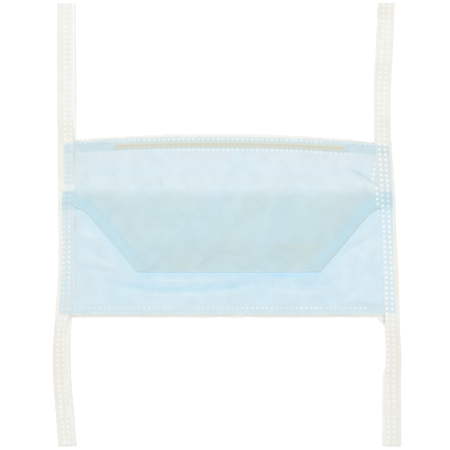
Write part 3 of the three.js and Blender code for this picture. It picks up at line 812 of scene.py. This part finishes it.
def shell_rows(x, front):
    """Heights of the body's rows for each column, ply by ply from the top edge."""
    top = top_at(x)
    upper = stack_rows(
        evenly(top, top - TOP_HEM, 22),
        evenly(top - TOP_HEM, ROOT_Y + ROOT_STEP + 0 * x, 15),
        evenly(ROOT_Y + ROOT_STEP + 0 * x, ROOT_Y + 0 * x, 13),
        evenly(ROOT_Y + 0 * x, front + FOLD_IN, 48),
    )
    middle = evenly(front + FOLD_IN, ROOT_Y - FOLD_IN + 0 * x, 12)
    below = FRONT_Y - 4.5
    lower = stack_rows(
        evenly(ROOT_Y - FOLD_IN + 0 * x, FRONT_Y + 1 + 0 * x, 40),
        evenly(FRONT_Y + 1 + 0 * x, below + 0 * x, 14),
        evenly(below + 0 * x, BOTTOM_Y + 0.7 + 0 * x, 24),
        evenly(BOTTOM_Y + 0.7 + 0 * x, BOTTOM_Y + 0 * x, 3),
        [BOTTOM_Y + 0 * x],
    )
    return upper, middle, lower


FOLD_IN = 0.45  # a fold's half turn starts this far inside its outermost line
FOLD_STEPS = 7


def half_turn(x, y, low, high, way):
    """Rows round a fold between two plies. Way is -1 where it points down the mask."""
    angles = np.linspace(0, math.pi, FOLD_STEPS + 2)[1:-1, None]
    start, end = (high, low) if way < 0 else (low, high)
    reach = FOLD_IN - SHELL / 2
    ys = y + way * reach * np.sin(angles)
    zs = (start + end) / 2 + (start - end) / 2 * np.cos(angles)
    return ys, zs


def make_body():
    count = round(BODY_WIDTH / COLUMN_PITCH) + 1
    share = np.linspace(0, 1, count)
    x_of = lambda y: left.shell_edge(y) * (1 - share) + right.shell_edge(y) * share
    x = x_of(np.full(count, TOP_Y))
    edge = pouch_edge(x_of(np.full(count, FRONT_Y)))
    for _ in range(4):
        edge = pouch_edge(x_of(edge))
    upper, middle, lower = shell_rows(x, edge)
    x_at = lambda rows: np.stack([x_of(row) for row in rows])
    front, root = edge + FOLD_IN, np.full(count, ROOT_Y - FOLD_IN)
    x_front, x_root = x_of(front), x_of(root)
    front_ys, front_zs = half_turn(x, front, middle_z(x_front, front), flap_z(x_front, front), -1)
    root_ys, root_zs = half_turn(x, root, lower_z(x_root, root), middle_z(x_root, root), 1)
    root_zs = root_zs[::-1]
    ys = stack_rows(upper, front_ys, middle, root_ys, lower)
    xs = x_at(ys)
    a, b, c, d = np.cumsum([len(upper), len(front_ys), len(middle), len(root_ys)])
    zs = stack_rows(
        upper_z(xs[:a], ys[:a]),
        front_zs,
        middle_z(xs[b:c], ys[b:c]),
        root_zs,
        panel_z(xs[d:], ys[d:]),
    )
    points = np.stack((xs, ys, zs), -1)
    hidden = np.broadcast_to(np.array(POUCH, float), points[b:c].shape)
    slanting = smoothstep(np.abs(xs[a:b] - FRONT_SHIFT), FRONT_WIDTH / 2 - 1, FRONT_WIDTH / 2 + 1)
    turned = mix(FOLD_TONE, SLANT_TONE, slanting)
    tint = stack_rows(upper_tint(xs[:a], ys[:a]), turned, hidden, lower_tint(xs[c:], ys[c:]))
    run = TOP_Y - ys
    run[b:c] = TOP_Y - 2 * FRONT_Y + ys[b:c]
    run[c:] = TOP_Y - 2 * FRONT_Y + 2 * ROOT_Y - ys[c:]
    reach = np.full(ys.shape, 99.0)
    reach[:a] = top_at(xs[:a]) - ys[:a]
    reach[d:] = seam_distance(xs[d:], ys[d:])
    place = np.stack((xs, run, np.where(np.arange(len(ys))[:, None] < d, np.maximum(reach, 0), reach)), -1)
    thickness = ply(xs, ys)
    thickness[d:] = SHELL
    turn = smoothstep(np.arange(c, d), c - 1, d)[:, None]
    thickness[c:d] = thickness[c:d] * (1 - turn) + SHELL * turn
    return cloth("mask_body", points, thickness, tint, WHITE, place, shell_cloth)


# Linings
def make_lining(name, upper_at, lower_at, ends, rows, tint_at, waver):
    """A strip of lining between two lines, on the floor."""
    count = round((ends[1] - ends[0]) / 0.7) + 1
    x = np.linspace(*ends, count)
    y = stack_rows(evenly(upper_at(x), lower_at(x), rows), [lower_at(x)])
    x = np.broadcast_to(x, y.shape)
    z = CLEAR + LINING / 2 + 0.01 * (1 + waves(x, y, 15, waver))
    tint = tint_at(x, y)
    place = np.stack((x, y, 0 * x), -1)
    return cloth(name, np.stack((x, y, z), -1), LINING, tint, WHITE, place, lining_cloth)


def lining_ends(y, right_gap):
    """Where a strip of lining stops, clear of the ties' back legs."""
    return (
        float(left.fold(y) + left.back(y) + LINING_GAP),
        float(right.fold(y) - right.back(y) - right_gap),
    )


def make_top_lining():
    upper = lambda x: top_at(x) + margin_at(x) + 0.12 * waves(x, 0 * x, 9, 41)
    lower = lambda x: top_at(x) - TOP_HEM

    def tint_at(x, y):
        edge = smoothstep(upper(x) - y, 0.1, 0.7)
        return mix((240, 240, 235), WHITE, edge)

    return make_lining("mask_lining_top", upper, lower, lining_ends(TOP_Y, LINING_GAP), 16, tint_at, 42)


def make_bottom_lining():
    ends = lining_ends(BOTTOM_Y, EAR_GAP)
    corner = ends[1]
    ear = lambda x: EAR_LENGTH * np.clip((x - corner + EAR_WIDTH) / EAR_WIDTH, 0, 1)
    upper = lambda x: np.full(np.shape(x), BOTTOM_Y + BOTTOM_HEM)
    lower = lambda x: BOTTOM_Y - BOTTOM_MARGIN - ear(x) + 0.1 * waves(x, 0 * x, 10, 43)

    def tint_at(x, y):
        colour = mix(EDGE_WHITE, (240, 240, 236), smoothstep(BOTTOM_Y - BOTTOM_MARGIN - y, 0.3, 1.5))
        # painted light: the loose corner whitens towards its right edge, to offset the shade from the tie beside it
        return mix(colour, EAR_RIM_PAINTED_LIGHT, smoothstep(x, corner - 1.1, corner - 0.1))

    return make_lining("mask_lining_bottom", upper, lower, ends, 12, tint_at, 44)


# Nose wire
def make_wire():
    """A flat bar with round edges under the ridge, swept along the top edge."""
    count = 170
    x = np.linspace(WIRE_SHIFT - WIRE_LENGTH / 2, WIRE_SHIFT + WIRE_LENGTH / 2, count)
    middle = top_at(x) - WIRE_DROP
    angles = np.linspace(0, 2 * math.pi, 17)[:-1]
    squash = lambda value: np.sign(value) * np.abs(value) ** 0.55
    across = squash(np.cos(angles)) * WIRE_WIDTH / 2
    up = squash(np.sin(angles)) * WIRE_THICKNESS / 2
    taper = np.sqrt(np.clip(1 - (np.abs(x - WIRE_SHIFT) / (WIRE_LENGTH / 2)) ** 90, 0.05, 1))
    y = middle[:, None] + across[None] * taper[:, None]
    bed = CLEAR + LINING + 0.1 + WIRE_THICKNESS / 2
    z = bed + up[None] * taper[:, None] + 0 * y
    points = np.stack((np.broadcast_to(x[:, None], y.shape), y, z), -1)
    index = np.arange(points[..., 0].size).reshape(y.shape)
    turned = np.roll(index, -1, 1)
    faces = np.stack((index[:-1], index[1:], turned[1:], turned[:-1]), -1).reshape(-1, 4)
    ends = np.concatenate((cap_faces(index[0]), cap_faces(index[-1][::-1])))
    tint = np.broadcast_to(np.array(WIRE_HALO, float), points.shape)
    return add_mesh("mask_nose_wire", points, faces, ends, tint, points, wire_plastic())


def cap_faces(ring):
    """Quads across a ring of an even number of points."""
    half = len(ring) // 2
    low, high = ring[:half], ring[half:][::-1]
    return np.stack((low[:-1], high[:-1], high[1:], low[1:]), -1)


# Ties
TIE_ROW = 0.33
FRONT_COLUMNS = 32
BACK_COLUMNS = 10
TURN_COLUMNS = 6


def dot_field(tie, depth, y):
    """1 in the middle of a weld dot on the tie's front leg, 0 between dots."""
    field = np.zeros(np.broadcast(depth, y).shape)
    number = np.round(y / TIE_DOT_PITCH)
    for column, slip in ((tie.near(y), 0), (tie.far(y), 0.1)):
        away = np.hypot(depth - column, y - (number + slip) * TIE_DOT_PITCH)
        field = np.maximum(field, 1 - smoothstep(away, 0.4 * TIE_DOT_RADIUS, 1.15 * TIE_DOT_RADIUS))
    return field


def leg_height(tie, x, y, base):
    """Height of a tie's front leg: on the back leg where it is free, and on the shell over the body."""
    inside = np.clip(y, BOTTOM_Y, top_at(x))
    edge = pouch_edge(x)
    folds = smoothstep(inside, edge - SHOULDER_EASE, edge - 0.3)
    stack = flap_z(x, np.maximum(inside, edge)) - lower_z(x, np.maximum(inside, edge))
    over_root = 1 - smoothstep(inside, ROOT_Y + 0.4, ROOT_Y + ROOT_STEP)
    shell = np.maximum(lower_z(x, inside) + stack * folds * over_root, surface_z(x, inside) - SHELL / 2)
    rests = shell + SHELL / 2 + CLEAR + STRIP / 2
    free = base + STRIP + CLEAR
    upper, lower = top_at(x) + 0.6, BOTTOM_Y - 0.6
    over = smoothstep(y, lower - COVER_EASE, lower) * (1 - smoothstep(y, upper, upper + COVER_EASE))
    return free + (np.maximum(rests, free) - free) * over


def strip_tint(tie, depth, x, y, dots):
    """Colours of a tie's front leg, with what shows through it."""
    on_left = tie.side < 0
    beyond = depth - tie.over(y)
    upper = top_at(x)
    body = smoothstep(y, BOTTOM_Y - 0.3, BOTTOM_Y + 0.3) * (1 - smoothstep(y, upper - 0.5, upper))
    inner = smoothstep(depth, tie.far(y) + 0.9, tie.far(y) + 1.5)
    veil = mix(STRIP_VEIL, STRIP_INNER, inner)
    high = smoothstep(y, ROOT_Y - 4, ROOT_Y + 2)
    opacity = (0.22 + (0.15 + 0.25 * high) * inner) if on_left else (0.15 + 0.25 * high + 0.1 * inner)
    through = mix(shell_tint(x, y), veil, opacity)
    if on_left:
        through = mix(through, LEFT_VEIL, 0.18 - 0.14 * smoothstep(y, 34, 42))
    folds = smoothstep(y, pouch_edge(x) - 0.6, pouch_edge(x) + 0.8) * (1 - smoothstep(y, ROOT_Y - 1, ROOT_Y + 1))
    through = mix(through, SHOULDER_TONE, 0.6 * folds)
    if on_left:
        patch = smoothstep(y, ROOT_Y - 0.6, ROOT_Y + 0.6) * (1 - smoothstep(y, ROOT_Y + 2.4, ROOT_Y + 4))
        through = mix(through, (231, 238, 238), 0.8 * patch)
    colour = mix(STRIP_WHITE, STRIP_MARGIN, 0.5)
    warm = smoothstep(waves(0.3 * x, y, 26, 52), 0.2, 1.1)
    warm = np.maximum(0.7 * warm, 0.6 * (1 - smoothstep(y, BOTTOM_Y - 8, BOTTOM_Y)))
    colour = mix(colour, (236, 233, 225), warm * smoothstep(y, BOTTOM_Y - 80, BOTTOM_Y))
    low = 1 - smoothstep(y, BOTTOM_Y - 14, BOTTOM_Y)
    colour = mix(colour, STRIP_LOW, 0.45 * low)
    colour = mix(colour, through, body * smoothstep(beyond, -0.25, 0.25))
    # at the fold: on the left a darker olive line of the cloth, on the right painted light that offsets the shade on
    # the fold's side away from the lamp
    edge = 1 - smoothstep(depth, 0.1, 0.9)
    colour = mix(colour, (236, 237, 230) if on_left else (250, 248, 242), 0.6 * edge)
    # painted light: the front leg paler at its inner edge, to offset the shade at the step down to what lies below
    rim = 1 - smoothstep(tie.front(y) - depth, 0.1, 0.7)
    colour = mix(colour, STRIP_RIM_PAINTED_LIGHT, (0.6 - (0.15 if on_left else 0.2) * body) * rim)
    bright = np.exp(-((y + 16) / 14) ** 2)
    strength = (0.3 + 0.42 * bright) if on_left else (0.9 - 0.25 * folds)
    strength = 0.7 + (strength - 0.7) * body
    return mix(colour, DOT_WHITE, dots * np.clip(strength + 0.1 * waves(x, y, 9, 53), 0, 1))


def make_tie(name, tie, node):
    ends = BOTTOM_Y - BOTTOM_TIE, TOP_Y + TOP_TIE
    count = round((ends[1] - ends[0]) / TIE_ROW) + 1
    y = np.linspace(ends[1], ends[0], count)[:, None]
    base = CLEAR + STRIP / 2 + tie.lift(y)
    radius = STRIP / 2 + CLEAR
    waver = 0.12 * waves(0 * y, y, 21, 61 + tie.side) + 0.06 * waves(0 * y, y, 6, 63 + tie.side)
    back = (tie.back(y) - radius) * np.linspace(1, 0, BACK_COLUMNS, endpoint=False) + radius
    front = (tie.front(y) + waver - radius) * np.linspace(0, 1, FRONT_COLUMNS) + radius
    back_x, front_x = tie.fold(y) - tie.side * back, tie.fold(y) - tie.side * front
    slope = 0.02 * waves(back_x, y, 14, 65 + tie.side)
    back_z = base + 0 * back + np.maximum(slope, 0)
    dots = dot_field(tie, front, y)
    front_z = leg_height(tie, front_x, y, base) + 0.03 * waves(front_x, y, 8, 67 + tie.side)
    low, high = back_z[:, -1:], front_z[:, :1]
    angles = np.linspace(-math.pi / 2, math.pi / 2, TURN_COLUMNS + 2)[1:-1]
    turn_x = tie.fold(y) - tie.side * (radius - (radius - STRIP / 2) * np.cos(angles))
    turn_z = (low + high) / 2 + (high - low) / 2 * np.sin(angles)
    xs = np.concatenate((back_x, turn_x, front_x), 1)
    zs = np.concatenate((back_z, turn_z, front_z), 1)
    ys = np.broadcast_to(y, xs.shape).copy()
    depth = np.abs(tie.fold(ys) - xs)
    if tie.side < 0:
        notch = np.clip(1 - np.abs(depth - 4.6) / 1.1, 0, 1)
        ys -= NOTCH * notch * smoothstep(ys, ends[1] - 3, ends[1])
    tint = strip_tint(tie, depth, xs, ys, 0 * xs)
    first = BACK_COLUMNS + TURN_COLUMNS
    tint[:, first:] = strip_tint(tie, front, front_x, ys[:, first:], dots)
    single = mix(STRIP_SINGLE, (242, 242, 237), smoothstep(back, tie.back(y) - 0.7, tie.back(y)))
    low = 1 - smoothstep(y + 0 * back, BOTTOM_Y - 14, BOTTOM_Y)
    tint[:, :BACK_COLUMNS] = mix(single, SINGLE_LOW, 0.6 * low)
    emboss = np.zeros(xs.shape)
    emboss[:, first:] = -TIE_DOT_DEPTH * dots
    run = np.cumsum(np.hypot(np.diff(xs, axis=1, prepend=xs[:, :1]), np.diff(zs, axis=1, prepend=zs[:, :1])), 1)
    place = np.stack((run, ys, 0 * run), -1)
    points = np.stack((xs, ys, zs), -1)
    inner = mix(STRIP_SINGLE, SINGLE_LOW, 0.6 * (1 - smoothstep(ys, BOTTOM_Y - 14, BOTTOM_Y)))
    # painted light: the back leg paler at its free edge, to offset the shade along that edge
    inner = mix(inner, SINGLE_RIM_PAINTED_LIGHT, 0.8 * (1 - smoothstep(tie.back(ys) - depth, 0, 0.8)))
    if tie.side > 0:
        points, tint, inner = points[:, ::-1], tint[:, ::-1], inner[:, ::-1]
        place, emboss = place[:, ::-1], emboss[:, ::-1]
    return cloth(name, points, STRIP, tint, inner, place, strip_cloth, emboss)


# Heat-sealed bands
BAND = 0.1  # how far the band's pressed surface stands off the flap
BAND_STEP = 0.3


def make_band(name, side):
    """A pressed band along one slanting side of the pouch, from under the tie to the front fold."""
    slant = left_slant if side < 0 else right_slant
    front_inset = (BODY_WIDTH - FRONT_WIDTH) / 2 - side * FRONT_SHIFT
    inset = np.linspace(2.5, front_inset, 400)
    line = np.stack((-(HALF_WIDTH - inset) if side < 0 else HALF_WIDTH - inset, slant(inset)), -1)
    tangent = unit(np.gradient(line, axis=0))
    inward = np.stack((tangent[:, 1], -tangent[:, 0]), -1) * side
    run = np.concatenate(([0], np.cumsum(np.linalg.norm(np.diff(line, axis=0), axis=1))))
    width = np.linspace(0.22, SEAM_WIDTH, round(SEAM_WIDTH / BAND_STEP) + 1)
    end_slope = abs(inward[-1][1] / tangent[-1][1])
    count = round(run[-1] / BAND_STEP)
    share = np.linspace(0, 1, count)[:, None]
    lengths = share * (run[-1] + end_slope * width[None] - 0.3)
    within = np.minimum(lengths, run[-1])
    at = lambda values, k: np.interp(within, run, values[:, k])
    beyond = lengths - within
    x = at(line, 0) + at(inward, 0) * width + beyond * tangent[-1, 0]
    y = at(line, 1) + at(inward, 1) * width + beyond * tangent[-1, 1]
    z = flap_z(x, y) + ply(x, y) / 2 + BAND / 2 + 0.02
    edge = 1 - smoothstep(width, 0.25, 1.0) + 0 * x
    inner = smoothstep(width, SEAM_WIDTH - 0.8, SEAM_WIDTH - 0.1) + 0 * x
    low_end = smoothstep(share, 0.72, 0.98) + 0 * x
    tint = mix(SEAM, (197, 222, 228), low_end)
    tint = mix(tint, SEAM_EDGE, 0.85 * edge)
    tint = mix(tint, (203, 224, 228), inner * (0.35 + 0.4 * low_end))
    slanted = lengths + 0.9 * width
    slash = smoothstep(np.sin(slanted * 2 * math.pi / SLASH_PITCH), -0.5, 0.5)
    rows = smoothstep(np.sin(width * 2 * math.pi / SLASH_ROW), -0.8, 0.2)
    emboss = -0.07 * slash * rows
    place = np.stack((lengths, width + 0 * lengths, share + 0 * lengths), -1)
    points = np.stack((x, y, z), -1)
    if side < 0:
        return cloth(name, points, BAND, tint, SEAM, place, seam_cloth, emboss)
    return cloth(name, points[:, ::-1], BAND, tint[:, ::-1], SEAM, place[:, ::-1], seam_cloth, emboss[:, ::-1])


def dressed_z(x, y):
    """Top of the body with its heat-sealed bands."""
    seam = slant_distance(x, y)
    banded = smoothstep(seam, 0.1, 0.3) * (1 - smoothstep(seam, SEAM_WIDTH - 0.1, SEAM_WIDTH + 0.1))
    return surface_z(x, y) + (BAND + 0.02) * banded * (y > FRONT_Y)


# Weld dots of the hems, as small low domes
def make_dots(name, places, radius, height, tone, strengths):
    """A row of small closed lenses on the shell, each as bright as its strength says."""
    sides = 14
    angles = np.linspace(0, 2 * math.pi, sides, endpoint=False)
    rings = ((0, 0.9, 1), (0.5, 0.95, 1), (0.78, 1, 0.9), (1, 0.5, 0.35), (1.1, -0.8, 0))
    points, tints, faces = [], [], []
    for (x, y), strength in zip(places, strengths):
        start = len(points)
        local = shell_tint(np.array([x]), np.array([y]))
        for k, (reach, level, share) in enumerate(rings):
            ring = angles[:1] if k == 0 else angles
            px, py = x + radius * reach * np.cos(ring), y + radius * reach * np.sin(ring)
            pz = dressed_z(px, py) + height * level
            points.extend(np.stack((px, py, pz), -1).tolist())
            tints.extend([mix(local, tone, np.array([strength * share]))[0]] * len(ring))
        ring_at = lambda k, i: start + 1 + (k - 1) * sides + i % sides
        for i in range(sides):
            faces.append((start, ring_at(1, i), ring_at(1, i + 1), ring_at(1, i + 1)))
            for k in (1, 2, 3):
                faces.append((ring_at(k, i), ring_at(k + 1, i), ring_at(k + 1, i + 1), ring_at(k, i + 1)))
        faces.append([ring_at(4, i) for i in reversed(range(sides))])
    quads = [tuple(dict.fromkeys(face)) for face in faces]
    return add_loose(name, points, quads, tints)


def add_loose(name, points, faces, tints):
    """A piece of many small closed bodies."""
    mesh = bpy.data.meshes.new(name)
    world = np.array(points) * MM + np.array(ORIGIN)
    mesh.from_pydata(world.tolist(), [], faces)
    mesh.polygons.foreach_set("use_smooth", [len(face) < 5 for face in faces])
    colours = np.concatenate((linear(np.array(tints)), np.ones((len(points), 1))), 1)
    layer = mesh.color_attributes.new("tint", "FLOAT_COLOR", "POINT")
    layer.data.foreach_set("color", colours.astype(np.float32).ravel())
    uv = mesh.uv_layers.new(name="cloth")
    corners = np.zeros(len(mesh.loops), int)
    mesh.loops.foreach_get("vertex_index", corners)
    uv.data.foreach_set("uv", (np.array(points)[corners, :2] * 0.01).astype(np.float32).ravel())
    mesh.materials.append(lining_cloth)
    mesh.update()
    piece = bpy.data.objects.new(name, mesh)
    bpy.context.scene.collection.objects.link(piece)
    return piece


def hem_dots(name, line, start, end, strength, tone, height=HEM_DOT_HEIGHT):
    x = np.arange(start, end, HEM_DOT_PITCH)
    places = np.stack((x, line(x)), -1)
    return make_dots(name, places, HEM_DOT_RADIUS, height, tone, strength(x))


def make_hem_dots():
    low, high = left.shell_edge(TOP_Y) + 9.5, right.shell_edge(TOP_Y) - 9
    upper = hem_dots(
        "weld_dots_top_edge",
        lambda x: top_at(x) - 0.8,
        low,
        high,
        lambda x: 0.3 + 0.4 * smoothstep(x, -62, -45) * (1 - smoothstep(x, 35, 62)),
        (247, 252, 250),
        EDGE_DOT_HEIGHT,
    )
    lower = hem_dots(
        "weld_dots_top_hem",
        lambda x: top_at(x) - 6.2 - 0.7 * smoothstep(-x, 50, 62) - 0.3 * smoothstep(x, 50, 66),
        low,
        high - 4,
        lambda x: 0.2 + 0.42 * smoothstep(x, -50, -20) * (1 - smoothstep(x, 42, 70)),
        (241, 249, 251),
    )
    bottom = hem_dots(
        "weld_dots_bottom_hem",
        lambda x: BOTTOM_Y + 3.9 + 0 * x,
        low,
        high - 2,
        lambda x: 0.38 + 0.2 * smoothstep(x, 8, 30) + 0.15 * waves(x, 0 * x, 22, 72),
        (237, 245, 247),
    )
    edge = hem_dots(
        "weld_dots_bottom_edge",
        lambda x: BOTTOM_Y + 1.3 + 0 * x,
        low + 2,
        high - 2,
        lambda x: 0.3 + 0.2 * waves(x, 0 * x, 18, 73),
        (228, 237, 238),
    )
    return [upper, lower, bottom, edge]


# Third column of dots, on the shell beside the right tie
SIDE_DOTS = table("x y strength", [
    (76.4, 32.3, 0.7),
    (76.2, 29.6, 0.8),
    (75.9, 27.0, 0.8),
    (75.4, 24.5, 0.7),
    (77.3, 19.8, 0.9),
    (77.6, 16.9, 1.0),
    (77.8, 14.3, 0.9),
    (78.0, 11.7, 0.7),
    (78.1, 8.4, 0.6),
    (78.3, 6.0, 0.45),
])


def make_side_dots():
    places = np.stack((SIDE_DOTS["x"], SIDE_DOTS["y"]), -1)
    return make_dots("weld_dots_side", places, HEM_DOT_RADIUS, HEM_DOT_HEIGHT, (243, 249, 251), SIDE_DOTS["strength"])


# Stage
def make_floor():
    size = 1.6
    corners = [(-size, -size, 0), (size, -size, 0), (size, size, 0), (-size, size, 0)]
    mesh = bpy.data.meshes.new("floor")
    mesh.from_pydata(corners, [], [(0, 1, 2, 3)])
    mesh.materials.append(paper_floor())
    floor = bpy.data.objects.new("floor", mesh)
    bpy.context.scene.collection.objects.link(floor)


VIEW_WIDTH = 0.517 * 450  # width of the photograph on the floor
VIEW_X = -1.03
VIEW_Y = -0.13
CAMERA_HEIGHT = 1.25


def make_camera():
    data = bpy.data.cameras.new("camera")
    data.sensor_width = 36
    data.lens = data.sensor_width * CAMERA_HEIGHT / (VIEW_WIDTH * MM)
    camera = bpy.data.objects.new("camera", data)
    camera.location = (VIEW_X * MM, VIEW_Y * MM, CAMERA_HEIGHT)
    bpy.context.scene.collection.objects.link(camera)
    bpy.context.scene.camera = camera


def make_lights():
    world = bpy.data.worlds.new("studio")
    world.use_nodes = True
    background = world.node_tree.nodes["Background"]
    background.inputs["Color"].default_value = (1, 1, 1, 1)
    background.inputs["Strength"].default_value = 1.03
    bpy.context.scene.world = world
    data = bpy.data.lights.new("softbox", "AREA")
    data.shape = "DISK"
    data.size = 0.9
    data.energy = 7
    lamp = bpy.data.objects.new("softbox", data)
    lamp.location = (-0.8, 1.1, 1.5)
    lamp.rotation_euler = (-lamp.location.xyz).to_track_quat("-Z", "Y").to_euler()
    bpy.context.scene.collection.objects.link(lamp)
    bpy.context.scene.view_settings.view_transform = "Standard"


make_camera()
make_lights()
make_floor()

body = make_body()
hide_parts("outer_shell")
top_lining, bottom_lining = make_top_lining(), make_bottom_lining()
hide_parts("top_lining_edge")
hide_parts("bottom_lining_edge")
wire = make_wire()
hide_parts("nose_wire")
bands = [make_band("seam_band_left", -1), make_band("seam_band_right", 1)]
dots = make_hem_dots() + [make_side_dots()]
left_tie = make_tie("mask_tie_left", left, "tie_left")
right_tie = make_tie("mask_tie_right", right, "tie_right")
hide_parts("tie_left")
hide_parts("tie_right")

for piece in [body, top_lining, bottom_lining, wire, *bands, *dots, left_tie, right_tie]:
    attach(piece, "root")
